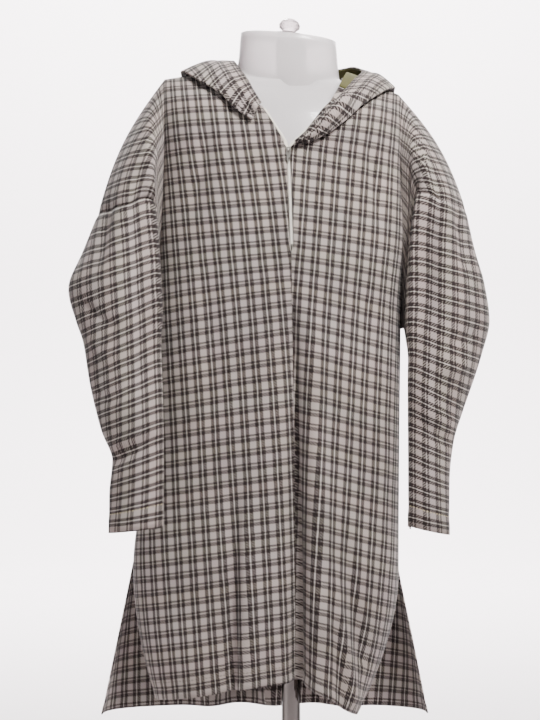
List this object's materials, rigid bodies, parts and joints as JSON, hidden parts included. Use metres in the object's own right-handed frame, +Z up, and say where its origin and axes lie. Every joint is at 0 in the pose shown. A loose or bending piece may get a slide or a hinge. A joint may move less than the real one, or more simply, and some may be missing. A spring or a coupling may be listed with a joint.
{
  "type": "hooded pheran on a dress form",
  "caption": "Long hooded check-tweed pullover garment with wide hanging sleeves, half zip and side slits, on a limbless plastic dress form on a round-based pole stand.",
  "frame": {"origin": "centre of the stand base's flat underside, on the pole's axis", "axes": "+Z up along the pole, -Y the front of the garment, +X towards the right as seen from the front"},
  "size_m": [0.6259, 0.33, 1.3503],
  "materials": {
    "tweed": "matt woven check tweed",
    "lining": "plain olive lining",
    "zip_tape": "cream woven tape",
    "zip_chain": "cream moulded teeth",
    "zip_metal": "nickel",
    "frosted_plastic": "translucent, frosted",
    "clear_plastic": "clear moulded",
    "stand_chrome": "polished"
  },
  "bodies": {
    "garment_on_stand": {"front_panel": "tweed", "back_panel": "tweed", "sleeve_left": "tweed", "sleeve_right": "tweed", "hood_left": "tweed", "hood_right": "tweed", "hood_lining": "lining", "zip_tape_left": "zip_tape", "zip_tape_right": "zip_tape", "zip_chain": "zip_chain", "zip_stop": "zip_metal", "zip_slider": "zip_metal", "form_shell": "frosted_plastic", "form_cap": "clear_plastic", "form_knob": "clear_plastic", "form_socket": "frosted_plastic", "stand_pole": "stand_chrome", "stand_base": "stand_chrome"},
    "pull_tab": {"zip_pull_tab": "zip_metal"}
  },
  "joints": [
    {"name": "pull_tab_hinge", "type": "hinge", "parent": "garment_on_stand", "child": "pull_tab", "pos_m": [-0.00499, -0.11268, 1.142], "axis": [-1, 0, 0], "range_deg": [0, 165]}
  ]
}
